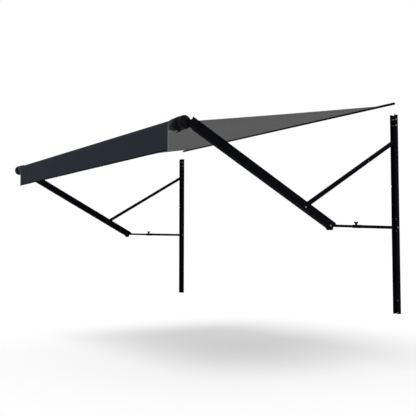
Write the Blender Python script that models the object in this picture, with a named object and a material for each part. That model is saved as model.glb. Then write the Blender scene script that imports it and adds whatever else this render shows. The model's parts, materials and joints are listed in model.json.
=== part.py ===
"""Roll-out canvas awning with its folding frame, open, without the wall.

Metres, +Z up. The wall is the plane Y = 0 and the awning stands out towards -Y.
The origin is the middle of the awning rail's back face. "Right" is +X.
"""

import bpy
import bmesh
from math import acos, cos, pi, radians, sin, sqrt
from mathutils import Matrix, Vector

# Whole awning
SPAN = 3.66                     # arm to arm, middle to middle
CANVAS_SETBACK = 0.177          # canvas's side edge in from the arm's middle
RAIL_RISE = 0.108               # rail's middle above the channels' upper ends
FIT = 0.0003                    # gap where two pieces touch
RUNNING = 0.0005                # gap round what slides or turns
OVERLAP = 0.001                 # how far shapes that are one casting reach into each other
CUT_PAST = 0.010                # how far a cutter runs past what it cuts

# Awning rail
RAIL_INSET = 0.003              # rail's ends in from the arms' middles
RAIL_HEIGHT = 0.019
RAIL_DEPTH = 0.016
RAIL_WALL = 0.0015
RAIL_SLOT_RISE = 0.004          # slot's middle above the rail's middle
RAIL_SLOT_WIDTH = 0.006

# Wall channels
CHANNEL_PAST_GLIDE = 0.24739    # channel's upper end above the brace's glide
CHANNEL_WIDTH = 0.052
CHANNEL_DEPTH = 0.047
CHANNEL_WALL = 0.003
NOTCH_RISE = 0.375              # above the link's pivot
NOTCH_LENGTH = 0.014
NOTCH_DEPTH = 0.006
LOW_SCREW_HEIGHTS = (0.014, 0.122)
LINK_SCREW_RISES = (-0.033, 0.077)      # above the link's pivot
SCREW_RADIUS = 0.0028
SCREW_HEAD_RADIUS = 0.0065
SCREW_HEAD_THICKNESS = 0.0028
TOP_BRACKET_DROP = 0.120        # bracket's lower end below the channel's upper end
TOP_BRACKET_HEIGHT = 0.098
TOP_BRACKET_DEPTH = 0.034
TOP_BOLT_DROPS = (0.099, 0.045)         # below the channel's upper end
TOP_BOLT_OUT = 0.027            # from the wall
TOP_BOLT_RADIUS = 0.004
TOP_BOLT_HEAD_RADIUS = 0.0075
LINK_BRACKET_DROP = 0.047       # bracket's lower end below the link's pivot
LINK_BRACKET_HEIGHT = 0.138
LINK_BRACKET_DEPTH = 0.038
BRACKET_WALL = 0.0025

# Folding frame, seen from the side: out from the wall and up from the channels' lower ends
LINK_PIVOT_OUT = 0.024
LINK_PIVOT_HEIGHT = 0.775
LINK_LENGTH = 0.837             # wall pivot to arm pivot
GLIDE_OUT = 0.026
ARM_SLOPE = radians(27.5)
ARM_PIVOT_SPACING = 0.3113      # link's pivot to brace's pivot on the arm
BRACE_LENGTH = 1.2817
PIVOT_RADIUS = 0.005
PIVOT_HEAD_RADIUS = 0.0085
PIVOT_HEAD_THICKNESS = 0.0045

# Arm
ARM_DEPTH = 0.067
ARM_WIDTH = 0.056
ARM_WALL = 0.0035
ARM_PIVOT_DEPTH = 0.0475        # pivots below the arm's upper edge
ARM_TOP_GAP = 0.0235            # arm's upper end short of the roller's axis
ARM_BOTTOM_END = 0.010          # arm's lower end beyond the link's pivot
ARM_RIM = 0.011
ARM_PANEL_RECESS = 0.0012
ARM_HEAD_CUTBACK = 0.0623       # inboard cheek cut away to clear the head

# Arm foot
FOOT_REACH = 0.034              # beyond the link's pivot
FOOT_PLUG_LENGTH = 0.045
FOOT_SLOT_GAP = 0.0006          # each side of the inner tube
FOOT_WEB = 0.005
FOOT_LUG_REACH = 0.004          # lug's middle past the foot's end
FOOT_HEEL = 0.004               # underside's end back from the foot's end
FOOT_LUG_RADIUS = 0.011
FOOT_LUG_NECK = 0.003
FOOT_THROAT = 0.005             # front edge under the lug, back from the foot's end
FOOT_TOE = 0.006                # front edge's lower end, past the foot's end
FOOT_TOE_RISE = 0.011           # and above the foot's underside
FOOT_DROP = 0.008               # foot's underside below the arm's

# Link: two square tubes, one in the other
LINK_OUTER = 0.026
LINK_WALL = 0.002
LINK_OUTER_REACH = 0.539        # from the wall pivot
LINK_TUBE_OVERLAP = 0.239       # inner tube inside the outer one
CLAMP_OUTER = 0.028
CLAMP_LENGTH = 0.090
KNOB_SETBACK = 0.032            # back from the outer tube's end
KNOB_TOP = 0.041                # above the link's middle
KNOB_SPAN = 0.040
KNOB_BLADE = 0.0095
KNOB_HUB_RADIUS = 0.010
KNOB_HUB_HEIGHT = 0.016
KNOB_WING_ROOT = 0.004          # lowest point of the wings above the hub's foot
KNOB_TIP_HEIGHT = 0.011
KNOB_TIP_LENGTH = 0.007
KNOB_DIP = 0.0035               # wings' middle below their tips
KNOB_SCREW_RADIUS = 0.0036

# Brace
BRACE_WIDTH = 0.036
BRACE_DEPTH = 0.030
BRACE_BOLT_REACH = 0.4146       # from the glide
BRACE_BOLT_RADIUS = 0.003
BRACE_BOLT_HEAD_RADIUS = 0.0055
GLIDE_RADIUS = 0.0165
STOP_DEPTH = 0.0118
STOP_HEIGHT = 0.012

# Roller and heads
ROLLER_ALONG_ARM = 1.5843       # from the link's pivot
ROLLER_BELOW_PIVOTS = 0.0101    # square to the line through the arm's pivots
ROLLER_RADIUS = 0.0405
ROLLER_WALL = 0.0032
ROLLER_PAST_CANVAS = 0.007
GROOVE_WIDTH = 0.004
GROOVE_DEPTH = 0.0022
CANVAS_GROOVE_ANGLE = radians(42.8)     # up and over, from the wall's side
VALANCE_GROOVE_ANGLE = radians(56)
HEAD_RADIUS = 0.052
HEAD_OUTER_FACE = 0.006         # cover's face inboard of the arm's middle
COVER_THICKNESS = 0.013
COVER_EDGE = 0.004              # radius of the cover's turned edge
NECK_PLATE = 0.0075
NECK_PLATE_RADIUS = 0.044
HEAD_DRUM_LENGTH = 0.077
HEAD_DRUM_WALL = 0.004
BOSS_RADIUS = 0.016
BOSS_LENGTH = 0.030
NECK_DEPTH = (0.019, 0.050)     # below the arm's upper edge
HEAD_PLUG_LENGTH = 0.115
CAP_RADIUS = 0.0485
CAP_PLUG_LENGTH = 0.040
SHAFT_RADIUS = 0.008
SHAFT_SEAT = 0.002              # metal left in the head behind the shaft's end
BUSH_WALL = 0.0035
BUSH_LENGTH = 0.080
BUSH_SETBACK = 0.002
SPRING_RADIUS = 0.020
SPRING_WIRE = 0.0022
SPRING_TURNS = 13
SPRING_PLATE_RADIUS = 0.030
SPRING_PLATE_THICKNESS = 0.005
SPRING_LENGTH = 0.190
LEVER_LENGTH = 0.034
LEVER_WIDTH = 0.014
LEVER_THICKNESS = 0.006
LEVER_PIN_RADIUS = 0.002
LEVER_EAR = 0.003
LEVER_NOSE = 0.003              # beyond the pin
LEVER_HEEL = 0.012              # where the long end starts to thin
LEVER_TIP_THICKNESS = 0.0042
LEVER_TIP_DROP = 0.0012

# Canvas and valance
CANVAS_THICKNESS = 0.0009
CANVAS_BEAD_RADIUS = 0.0035
CANVAS_LIP = 0.001              # level run of the canvas in front of the rail
VALANCE_THICKNESS = 0.0012
VALANCE_DROP = 0.193            # hem below the roller's axis
HEM_THICKNESS = 0.005
HEM_HEIGHT = 0.014
HEM_TAPER = 0.004

ROUND_SEGMENTS = 48
BOLT_SEGMENTS = 12
END_STEPS = 8
COVER_EDGE_STEPS = 4
VALANCE_STEPS = 10
SPRING_STEPS_PER_TURN = 9
SPRING_SIDES = 4
HALF_SPAN = SPAN / 2
SIDES = (("left", -1), ("right", 1))

BLACK_PAINT = ((0.012, 0.012, 0.014), 0.36, 0.0)
BLACK_PLASTIC = ((0.010, 0.010, 0.011), 0.42, 0.0)
ZINC = ((0.42, 0.42, 0.43), 0.38, 0.9)
NYLON = ((0.70, 0.69, 0.65), 0.55, 0.0)
SPRING_STEEL = ((0.25, 0.25, 0.26), 0.40, 0.9)
GREY_CLOTH = ((0.105, 0.105, 0.107), 0.85, 0.0)
NAVY_CLOTH = ((0.020, 0.025, 0.034), 0.80, 0.0)


def clear_scene():
    for old in list(bpy.data.objects):
        bpy.data.objects.remove(old, do_unlink=True)


def point(x, out, height):
    """World point from x, the distance out from the wall and the height above the channels."""
    return Vector((x, -out, height - RAIL_ABOVE_CHANNELS))


def side_vector(along, across, slope):
    """(out, up) of a vector given along and square to a line that climbs at slope."""
    return (
        along * cos(slope) - across * sin(slope),
        along * sin(slope) + across * cos(slope),
    )


def shifted(start, along, across, slope):
    out, up = side_vector(along, across, slope)
    return (start[0] + out, start[1] + up)


# Places that follow from the sizes, as (out, height)
LINK_PIVOT = (LINK_PIVOT_OUT, LINK_PIVOT_HEIGHT)
FOOT_PIVOT = (LINK_PIVOT_OUT + LINK_LENGTH, LINK_PIVOT_HEIGHT)
BRACE_PIVOT = shifted(FOOT_PIVOT, ARM_PIVOT_SPACING, 0, ARM_SLOPE)
BRACE_RUN = BRACE_PIVOT[0] - GLIDE_OUT
GLIDE = (GLIDE_OUT, BRACE_PIVOT[1] + sqrt(BRACE_LENGTH**2 - BRACE_RUN**2))
BRACE_SLOPE = -acos(BRACE_RUN / BRACE_LENGTH)
ROLLER = shifted(FOOT_PIVOT, ROLLER_ALONG_ARM, -ROLLER_BELOW_PIVOTS, ARM_SLOPE)
CHANNEL_LENGTH = GLIDE[1] + CHANNEL_PAST_GLIDE
RAIL_ABOVE_CHANNELS = CHANNEL_LENGTH + RAIL_RISE
TOP_BRACKET_BOTTOM = CHANNEL_LENGTH - TOP_BRACKET_DROP
TOP_BOLT_HEIGHTS = [CHANNEL_LENGTH - drop for drop in TOP_BOLT_DROPS]
LINK_BRACKET_BOTTOM = LINK_PIVOT_HEIGHT - LINK_BRACKET_DROP
LINK_SCREW_HEIGHTS = [LINK_PIVOT_HEIGHT + rise for rise in LINK_SCREW_RISES]
WALL_SCREW_HEIGHTS = [*LOW_SCREW_HEIGHTS, *LINK_SCREW_HEIGHTS]
NOTCH_HEIGHT = LINK_PIVOT_HEIGHT + NOTCH_RISE
LINK_INNER = LINK_OUTER - 2 * (LINK_WALL + RUNNING)
GROOVE_SEAT = ROLLER_RADIUS - GROOVE_DEPTH + FIT
LINK_INNER_START = LINK_OUTER_REACH - LINK_TUBE_OVERLAP
KNOB_REACH = LINK_OUTER_REACH - KNOB_SETBACK
CANVAS_WIDTH = SPAN - 2 * CANVAS_SETBACK
FOOT_SLOT_WIDTH = LINK_INNER + 2 * FOOT_SLOT_GAP
CAP_INNER_FACE = CANVAS_WIDTH / 2 + ROLLER_PAST_CANVAS + FIT
DRUM_OUTER_FACE = HALF_SPAN - HEAD_OUTER_FACE - COVER_THICKNESS - FIT - NECK_PLATE
DRUM_INNER_FACE = DRUM_OUTER_FACE - HEAD_DRUM_LENGTH


def material(name, finish):
    colour, roughness, metallic = finish
    made = bpy.data.materials.new(name)
    made.use_nodes = True
    shader = made.node_tree.nodes["Principled BSDF"]
    shader.inputs["Base Color"].default_value = (*colour, 1.0)
    shader.inputs["Roughness"].default_value = roughness
    shader.inputs["Metallic"].default_value = metallic
    return made


def new_object(name, mesh_data, finish):
    made = bpy.data.objects.new(name, mesh_data)
    bpy.context.scene.collection.objects.link(made)
    if finish:
        made.data.materials.append(material(name, finish))
    return made


def prism(name, outline, origin, u, v, length, finish=None):
    """A closed solid: an outline in the plane of u and v, pushed out along u x v."""
    u, v, origin = Vector(u).normalized(), Vector(v).normalized(), Vector(origin)
    push = u.cross(v) * length
    turn = sum(a[0] * b[1] - b[0] * a[1] for a, b in zip(outline, outline[1:] + outline[:1]))
    corners = outline if turn > 0 else outline[::-1]
    shape = bmesh.new()
    low = [shape.verts.new(origin + u * a + v * b) for a, b in corners]
    high = [shape.verts.new(origin + u * a + v * b + push) for a, b in corners]
    shape.faces.new(low[::-1])
    shape.faces.new(high)
    for i, corner in enumerate(low):
        j = (i + 1) % len(low)
        shape.faces.new((corner, low[j], high[j], high[i]))
    made = bpy.data.meshes.new(name)
    shape.to_mesh(made)
    shape.free()
    return new_object(name, made, finish)


def side_prism(name, outline, low_x, high_x, finish=None):
    """A solid from an outline of (out, height) points, between two X planes."""
    return prism(
        name,
        [(-out, height) for out, height in outline],
        point(low_x, 0, 0),
        (0, 1, 0),
        (0, 0, 1),
        high_x - low_x,
        finish,
    )


def circle(centre, radius, segments=ROUND_SEGMENTS, start=0.0):
    return [
        (
            centre[0] + radius * cos(start + 2 * pi * i / segments),
            centre[1] + radius * sin(start + 2 * pi * i / segments),
        )
        for i in range(segments)
    ]


def disc(name, centre, radius, low_x, high_x, finish=None, segments=ROUND_SEGMENTS):
    return side_prism(name, circle(centre, radius, segments), low_x, high_x, finish)


def arc(centre, radius, first, last, steps):
    return [
        (
            centre[0] + radius * cos(first + (last - first) * i / steps),
            centre[1] + radius * sin(first + (last - first) * i / steps),
        )
        for i in range(steps + 1)
    ]


def bar_outline(start, slope, low, high, half_depth, round_low=False, round_high=False):
    """Side outline of a straight bar from low to high along a slope, with round ends if asked."""
    local = []
    if round_low:
        local += arc((low, 0), half_depth, pi / 2, 3 * pi / 2, END_STEPS)
    else:
        local += [(low, half_depth), (low, -half_depth)]
    if round_high:
        local += arc((high, 0), half_depth, -pi / 2, pi / 2, END_STEPS)
    else:
        local += [(high, -half_depth), (high, half_depth)]
    return [shifted(start, a, b, slope) for a, b in local]


def helper(shape):
    shape.hide_render = True
    shape.display_type = "WIRE"
    return shape


def combine(target, others, operation):
    for other in others:
        step = target.modifiers.new(other.name, "BOOLEAN")
        step.operation = operation
        step.solver = "EXACT"
        step.object = helper(other)
    return target


def gathered(name, shapes):
    """Several helper shapes that stand clear of each other, as one."""
    together = bmesh.new()
    for shape in shapes:
        together.from_mesh(shape.data)
        bpy.data.objects.remove(shape, do_unlink=True)
    made = bpy.data.meshes.new(name)
    together.to_mesh(made)
    together.free()
    return new_object(name, made, None)


def cut(target, *cutters):
    return combine(target, cutters, "DIFFERENCE")


def join(target, *pieces):
    return combine(target, pieces, "UNION")


def smooth(shape, angle=35):
    shape.data.shade_smooth()
    shape.data.set_sharp_from_angle(angle=radians(angle))
    return shape


def hung_on(shape, pivot):
    """Moves an object's origin onto its joint's axis and leaves the shape where it is."""
    shape.data.transform(Matrix.Translation(-pivot))
    shape.location = pivot
    return shape


def bracket(name, x, bottom, height, depth, finish):
    """A U of folded plate that nests in the channel, open outwards."""
    half = CHANNEL_WIDTH / 2 - CHANNEL_WALL - FIT
    back = CHANNEL_WALL + FIT
    outline = [
        (-half, back),
        (half, back),
        (half, depth),
        (half - BRACKET_WALL, depth),
        (half - BRACKET_WALL, back + BRACKET_WALL),
        (-half + BRACKET_WALL, back + BRACKET_WALL),
        (-half + BRACKET_WALL, depth),
        (-half, depth),
    ]
    return prism(
        name,
        [(a, -b) for a, b in outline],
        point(x, 0, bottom),
        (1, 0, 0),
        (0, 1, 0),
        height,
        finish,
    )


def through_bolt(name, centre, x, half_grip, radius, head_radius, finish, side, collar=None):
    """A bolt along X with its head outboard and its nut inboard; collar = (radius, from, to)."""
    head = PIVOT_HEAD_THICKNESS
    made = disc(name, centre, radius, x - half_grip - head / 2, x + half_grip + head / 2,
                finish, BOLT_SEGMENTS)
    ends = (
        ("head", BOLT_SEGMENTS, x + side * half_grip, x + side * (half_grip + head)),
        ("nut", 6, x - side * half_grip, x - side * (half_grip + head)),
    )
    pieces = []
    for part, segments, near, far in ends:
        pieces.append(disc(f"{name}_{part}", centre, head_radius, min(near, far), max(near, far),
                           None, segments))
    if collar:
        collar_radius, low, high = collar
        for sign in (-1, 1):
            near, far = x + sign * low, x + sign * high
            pieces.append(disc(f"{name}_collar_{sign}", centre, collar_radius,
                               min(near, far), max(near, far), None, BOLT_SEGMENTS))
    return smooth(join(made, *pieces))


def awning_rail():
    half = RAIL_HEIGHT / 2
    slot_top = RAIL_SLOT_RISE + RAIL_SLOT_WIDTH / 2
    slot_low = RAIL_SLOT_RISE - RAIL_SLOT_WIDTH / 2
    inner = RAIL_DEPTH - RAIL_WALL
    outline = [
        (0, -half),
        (RAIL_DEPTH, -half),
        (RAIL_DEPTH, slot_low),
        (inner, slot_low),
        (inner, -half + RAIL_WALL),
        (RAIL_WALL, -half + RAIL_WALL),
        (RAIL_WALL, half - RAIL_WALL),
        (inner, half - RAIL_WALL),
        (inner, slot_top),
        (RAIL_DEPTH, slot_top),
        (RAIL_DEPTH, half),
        (0, half),
    ]
    reach = HALF_SPAN - RAIL_INSET
    raised = [(out, RAIL_ABOVE_CHANNELS + up) for out, up in outline]
    return side_prism("awning_rail", raised, -reach, reach, BLACK_PAINT)


def wall_channel(label, x):
    half = CHANNEL_WIDTH / 2
    inner = half - CHANNEL_WALL
    outline = [
        (-half, 0),
        (half, 0),
        (half, CHANNEL_DEPTH),
        (inner, CHANNEL_DEPTH),
        (inner, CHANNEL_WALL),
        (-inner, CHANNEL_WALL),
        (-inner, CHANNEL_DEPTH),
        (-half, CHANNEL_DEPTH),
    ]
    channel = prism(
        f"{label}_wall_channel",
        [(a, -b) for a, b in outline],
        point(x, 0, 0),
        (1, 0, 0),
        (0, 1, 0),
        CHANNEL_LENGTH,
        BLACK_PAINT,
    )
    cutters = [
        disc(f"{label}_channel_link_hole", LINK_PIVOT, PIVOT_RADIUS + FIT,
             x - CHANNEL_WIDTH, x + CHANNEL_WIDTH, None, BOLT_SEGMENTS)
    ]
    for i, height in enumerate(TOP_BOLT_HEIGHTS):
        cutters.append(disc(f"{label}_channel_top_hole_{i}", (TOP_BOLT_OUT, height),
                            TOP_BOLT_RADIUS + FIT, x - CHANNEL_WIDTH, x + CHANNEL_WIDTH,
                            None, BOLT_SEGMENTS))
    for i, height in enumerate(WALL_SCREW_HEIGHTS):
        cutters.append(screw_hole(f"{label}_channel_screw_hole_{i}", x, height))
    notch = side_prism(
        f"{label}_channel_notch",
        [
            (CHANNEL_DEPTH - NOTCH_DEPTH, NOTCH_HEIGHT - NOTCH_LENGTH / 2),
            (CHANNEL_DEPTH + NOTCH_DEPTH, NOTCH_HEIGHT - NOTCH_LENGTH / 2),
            (CHANNEL_DEPTH + NOTCH_DEPTH, NOTCH_HEIGHT + NOTCH_LENGTH / 2),
            (CHANNEL_DEPTH - NOTCH_DEPTH, NOTCH_HEIGHT + NOTCH_LENGTH / 2),
        ],
        x - CHANNEL_WIDTH,
        x + CHANNEL_WIDTH,
    )
    return cut(channel, gathered(f"{label}_channel_openings", [notch, *cutters]))


def upright_disc(name, x, height, radius, low_out, high_out, finish=None):
    """A disc whose axis stands square to the wall."""
    return prism(
        name,
        circle((0, 0), radius, BOLT_SEGMENTS, pi / BOLT_SEGMENTS),
        point(x, low_out, height),
        (1, 0, 0),
        (0, 0, 1),
        high_out - low_out,
        finish,
    )


def screw_hole(name, x, height):
    return upright_disc(name, x, height, SCREW_RADIUS + FIT, -CHANNEL_WALL, CHANNEL_DEPTH)


def wall_screws(label, x):
    """The screws that hold a channel and its link bracket to the wall, ended at the wall."""
    for i, height in enumerate(WALL_SCREW_HEIGHTS, start=1):
        seat = CHANNEL_WALL + FIT
        bracketed = LINK_BRACKET_BOTTOM < height < LINK_BRACKET_BOTTOM + LINK_BRACKET_HEIGHT
        if bracketed:
            seat += BRACKET_WALL + FIT
        screw = upright_disc(f"{label}_wall_screw_{i}", x, height, SCREW_RADIUS, FIT,
                             seat + SCREW_HEAD_THICKNESS / 2, ZINC)
        head = upright_disc(f"{label}_wall_screw_{i}_head", x, height, SCREW_HEAD_RADIUS,
                            seat, seat + SCREW_HEAD_THICKNESS)
        smooth(join(screw, head))


def channel_fittings(label, side, x):
    top = bracket(f"{label}_top_bracket", x, TOP_BRACKET_BOTTOM, TOP_BRACKET_HEIGHT,
                  TOP_BRACKET_DEPTH, BLACK_PAINT)
    holes = []
    for i, height in enumerate(TOP_BOLT_HEIGHTS):
        centre = (TOP_BOLT_OUT, height)
        holes.append(disc(f"{label}_top_bracket_hole_{i}", centre, TOP_BOLT_RADIUS + FIT,
                          x - CHANNEL_WIDTH, x + CHANNEL_WIDTH, None, BOLT_SEGMENTS))
        through_bolt(f"{label}_top_bolt_{i + 1}", centre, x, CHANNEL_WIDTH / 2 + FIT,
                     TOP_BOLT_RADIUS, TOP_BOLT_HEAD_RADIUS, ZINC, side)
    cut(top, gathered(f"{label}_top_bracket_openings", holes))
    low = bracket(f"{label}_link_bracket", x, LINK_BRACKET_BOTTOM, LINK_BRACKET_HEIGHT,
                  LINK_BRACKET_DEPTH, BLACK_PAINT)
    holes = [disc(f"{label}_link_bracket_hole", LINK_PIVOT, PIVOT_RADIUS + FIT,
                  x - CHANNEL_WIDTH, x + CHANNEL_WIDTH, None, BOLT_SEGMENTS)]
    for i, height in enumerate(WALL_SCREW_HEIGHTS):
        if LINK_BRACKET_BOTTOM < height < LINK_BRACKET_BOTTOM + LINK_BRACKET_HEIGHT:
            holes.append(screw_hole(f"{label}_link_bracket_screw_hole_{i}", x, height))
    cut(low, gathered(f"{label}_link_bracket_openings", holes))
    bracket_inside = CHANNEL_WIDTH / 2 - CHANNEL_WALL - FIT - BRACKET_WALL
    through_bolt(f"{label}_link_pivot_bolt", LINK_PIVOT, x, CHANNEL_WIDTH / 2 + FIT,
                 PIVOT_RADIUS, PIVOT_HEAD_RADIUS, ZINC, side,
                 (PIVOT_HEAD_RADIUS, LINK_OUTER / 2 + FIT, bracket_inside - FIT))
    glide_stop(label, x)


def glide_stop(label, x):
    """The step riveted in the channel on which the brace's glide rests when the awning is open."""
    half = CHANNEL_WIDTH / 2 - CHANNEL_WALL - FIT
    back = CHANNEL_WALL + FIT
    front = back + STOP_DEPTH
    reach = GLIDE_RADIUS + FIT
    top = GLIDE[1] - sqrt(reach**2 - (GLIDE_OUT - front) ** 2)
    side_prism(
        f"{label}_glide_stop",
        [(back, top - STOP_HEIGHT), (front, top - STOP_HEIGHT), (front, top), (back, top)],
        x - half,
        x + half,
        BLACK_PAINT,
    )


def square_tube(name, start, slope, low, high, size, wall, round_low, round_high, x, finish):
    outside = bar_outline(start, slope, low, high, size / 2, round_low, round_high)
    made = side_prism(name, outside, x - size / 2, x + size / 2, finish)
    bore = bar_outline(start, slope, low - size, high + size, size / 2 - wall)
    return cut(made, side_prism(f"{name}_bore", bore, x - size / 2 + wall, x + size / 2 - wall))


def telescoping_link(label, side, x):
    pivot = point(x, *LINK_PIVOT)
    outer = square_tube(f"{label}_link_outer_tube", LINK_PIVOT, 0, 0, LINK_OUTER_REACH,
                        LINK_OUTER, LINK_WALL, True, False, x, BLACK_PAINT)
    clamp = bar_outline(LINK_PIVOT, 0, LINK_OUTER_REACH - CLAMP_LENGTH,
                        LINK_OUTER_REACH + FIT, CLAMP_OUTER / 2)
    clamp_block = side_prism(f"{label}_link_clamp", clamp, x - CLAMP_OUTER / 2,
                             x + CLAMP_OUTER / 2)
    bore = bar_outline(LINK_PIVOT, 0, LINK_OUTER_REACH - 2 * CLAMP_LENGTH,
                       LINK_OUTER_REACH + CLAMP_LENGTH, LINK_OUTER / 2 - LINK_WALL)
    clamp_bore = side_prism(f"{label}_link_clamp_bore", bore,
                            x - LINK_OUTER / 2 + LINK_WALL, x + LINK_OUTER / 2 - LINK_WALL)
    join(outer, clamp_block)
    hole = disc(f"{label}_link_outer_hole", LINK_PIVOT, PIVOT_RADIUS + FIT,
                x - LINK_OUTER, x + LINK_OUTER, None, BOLT_SEGMENTS)
    knob_hole = knob_disc(f"{label}_knob_hole", x, KNOB_SCREW_RADIUS + FIT, 0, LINK_OUTER)
    cut(outer, clamp_bore, hole, knob_hole)
    hung_on(outer, pivot)

    inner = square_tube(f"{label}_link_inner_tube", LINK_PIVOT, 0, LINK_INNER_START, LINK_LENGTH,
                        LINK_INNER, LINK_WALL, False, True, x, BLACK_PAINT)
    cut(inner, disc(f"{label}_link_inner_hole", FOOT_PIVOT, PIVOT_RADIUS + FIT,
                    x - LINK_INNER, x + LINK_INNER, None, BOLT_SEGMENTS))
    hung_on(inner, point(x, *FOOT_PIVOT))
    pitch_knob(label, x)


def knob_disc(name, x, radius, low, high, finish=None):
    """A disc on the knob's upright axis, from low to high above the link's middle."""
    return prism(
        name,
        circle((0, 0), radius, BOLT_SEGMENTS),
        point(x, LINK_PIVOT_OUT + KNOB_REACH, LINK_PIVOT_HEIGHT + low),
        (1, 0, 0),
        (0, 1, 0),
        high - low,
        finish,
    )


def pitch_knob(label, x):
    """The winged screw that clamps the inner tube: a hub with two raised wings."""
    centre_out = LINK_PIVOT_OUT + KNOB_REACH
    seat = CLAMP_OUTER / 2 + FIT
    root = seat + KNOB_WING_ROOT
    knob = knob_disc(f"{label}_pitch_knob", x, KNOB_SCREW_RADIUS, LINK_INNER / 2 + FIT,
                     KNOB_TOP - KNOB_TIP_HEIGHT, BLACK_PLASTIC)
    hub = knob_disc(f"{label}_knob_hub", x, KNOB_HUB_RADIUS, seat, seat + KNOB_HUB_HEIGHT)
    half = KNOB_SPAN / 2
    base = LINK_PIVOT_HEIGHT
    wings = [
        (centre_out - half, base + KNOB_TOP - KNOB_TIP_HEIGHT),
        (centre_out - KNOB_HUB_RADIUS / 2, base + root),
        (centre_out + KNOB_HUB_RADIUS / 2, base + root),
        (centre_out + half, base + KNOB_TOP - KNOB_TIP_HEIGHT),
        (centre_out + half, base + KNOB_TOP),
        (centre_out + half - KNOB_TIP_LENGTH, base + KNOB_TOP),
        (centre_out, base + KNOB_TOP - KNOB_DIP),
        (centre_out - half + KNOB_TIP_LENGTH, base + KNOB_TOP),
        (centre_out - half, base + KNOB_TOP),
    ]
    blade = side_prism(f"{label}_knob_wings", wings, x - KNOB_BLADE / 2, x + KNOB_BLADE / 2)
    join(knob, hub, blade)
    hung_on(smooth(knob), point(x, centre_out, base))


def brace(label, side, x):
    made = side_prism(
        f"{label}_brace",
        bar_outline(GLIDE, BRACE_SLOPE, 0, BRACE_LENGTH, BRACE_DEPTH / 2, True, True),
        x - BRACE_WIDTH / 2,
        x + BRACE_WIDTH / 2,
        BLACK_PAINT,
    )
    bore = bar_outline(GLIDE, BRACE_SLOPE, -BRACE_DEPTH, BRACE_LENGTH + BRACE_DEPTH,
                       BRACE_DEPTH / 2 - LINK_WALL)
    hollow = side_prism(f"{label}_brace_bore", bore, x - BRACE_WIDTH / 2 + LINK_WALL,
                        x + BRACE_WIDTH / 2 - LINK_WALL)
    bolt_centre = shifted(GLIDE, BRACE_BOLT_REACH, 0, BRACE_SLOPE)
    places = (
        ("glide", GLIDE, PIVOT_RADIUS),
        ("pivot", BRACE_PIVOT, PIVOT_RADIUS),
        ("bolt", bolt_centre, BRACE_BOLT_RADIUS),
    )
    holes = [
        disc(f"{label}_brace_{part}_hole", centre, radius + FIT,
             x - BRACE_WIDTH, x + BRACE_WIDTH, None, BOLT_SEGMENTS)
        for part, centre, radius in places
    ]
    cut(made, hollow, gathered(f"{label}_brace_openings", holes))
    hung_on(made, point(x, *BRACE_PIVOT))
    bolt = through_bolt(f"{label}_brace_bolt", bolt_centre, x, BRACE_WIDTH / 2 + FIT,
                        BRACE_BOLT_RADIUS, BRACE_BOLT_HEAD_RADIUS, ZINC, side)
    hung_on(bolt, point(x, *BRACE_PIVOT))
    glide = disc(f"{label}_brace_glide", GLIDE, PIVOT_RADIUS, x - BRACE_WIDTH / 2 - FIT * 2,
                 x + BRACE_WIDTH / 2 + FIT * 2, NYLON, BOLT_SEGMENTS)
    channel_inside = CHANNEL_WIDTH / 2 - CHANNEL_WALL - RUNNING
    ends = []
    for sign in (-1, 1):
        near = x + sign * (BRACE_WIDTH / 2 + FIT)
        far = x + sign * channel_inside
        ends.append(disc(f"{label}_glide_end_{sign}", GLIDE, GLIDE_RADIUS, min(near, far),
                         max(near, far), None, ROUND_SEGMENTS // 2))
    hung_on(smooth(join(glide, *ends)), point(x, *BRACE_PIVOT))


def on_arm(along, depth):
    """(out, height) of a point given along the arm from the link's pivot, and below its edge."""
    return shifted(FOOT_PIVOT, along, ARM_PIVOT_DEPTH - depth, ARM_SLOPE)


def arm(label, side, x):
    """The arm's channel, open upwards, with a recessed panel in each side."""
    half = ARM_WIDTH / 2
    inner = half - ARM_WALL
    panel = half - ARM_PANEL_RECESS
    right = [
        (half, 0),
        (half, ARM_RIM),
        (panel, ARM_RIM + ARM_PANEL_RECESS),
        (panel, ARM_DEPTH - ARM_RIM - ARM_PANEL_RECESS),
        (half, ARM_DEPTH - ARM_RIM),
        (half, ARM_DEPTH),
    ]
    outline = right + [(-a, b) for a, b in right[::-1]]
    outline += [(-inner, 0), (-inner, ARM_DEPTH - ARM_WALL), (inner, ARM_DEPTH - ARM_WALL), (inner, 0)]
    length = ROLLER_ALONG_ARM - ARM_TOP_GAP + ARM_BOTTOM_END
    down = side_vector(0, -1, ARM_SLOPE)
    start = on_arm(ROLLER_ALONG_ARM - ARM_TOP_GAP, 0)
    made = prism(
        f"{label}_arm",
        outline,
        point(x, *start),
        (1, 0, 0),
        (0, -down[0], down[1]),
        length,
        BLACK_PAINT,
    )
    holes = [
        disc(f"{label}_arm_{part}_hole", centre, PIVOT_RADIUS + FIT, x - ARM_WIDTH, x + ARM_WIDTH,
             None, BOLT_SEGMENTS)
        for part, centre in (("link", FOOT_PIVOT), ("brace", BRACE_PIVOT))
    ]
    top = ROLLER_ALONG_ARM - ARM_TOP_GAP
    low, high = top - ARM_HEAD_CUTBACK, top + ARM_HEAD_CUTBACK
    corners = [(low, -ARM_DEPTH), (high, -ARM_DEPTH), (high, 2 * ARM_DEPTH), (low, 2 * ARM_DEPTH)]
    cutback = side_prism(f"{label}_arm_cutback", [on_arm(*p) for p in corners],
                         *span_x(side, HALF_SPAN - ARM_WIDTH,
                                 HALF_SPAN - HEAD_OUTER_FACE + 2 * FIT))
    cut(made, gathered(f"{label}_arm_openings", [cutback, *holes]))
    hung_on(made, point(x, *FOOT_PIVOT))


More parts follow.
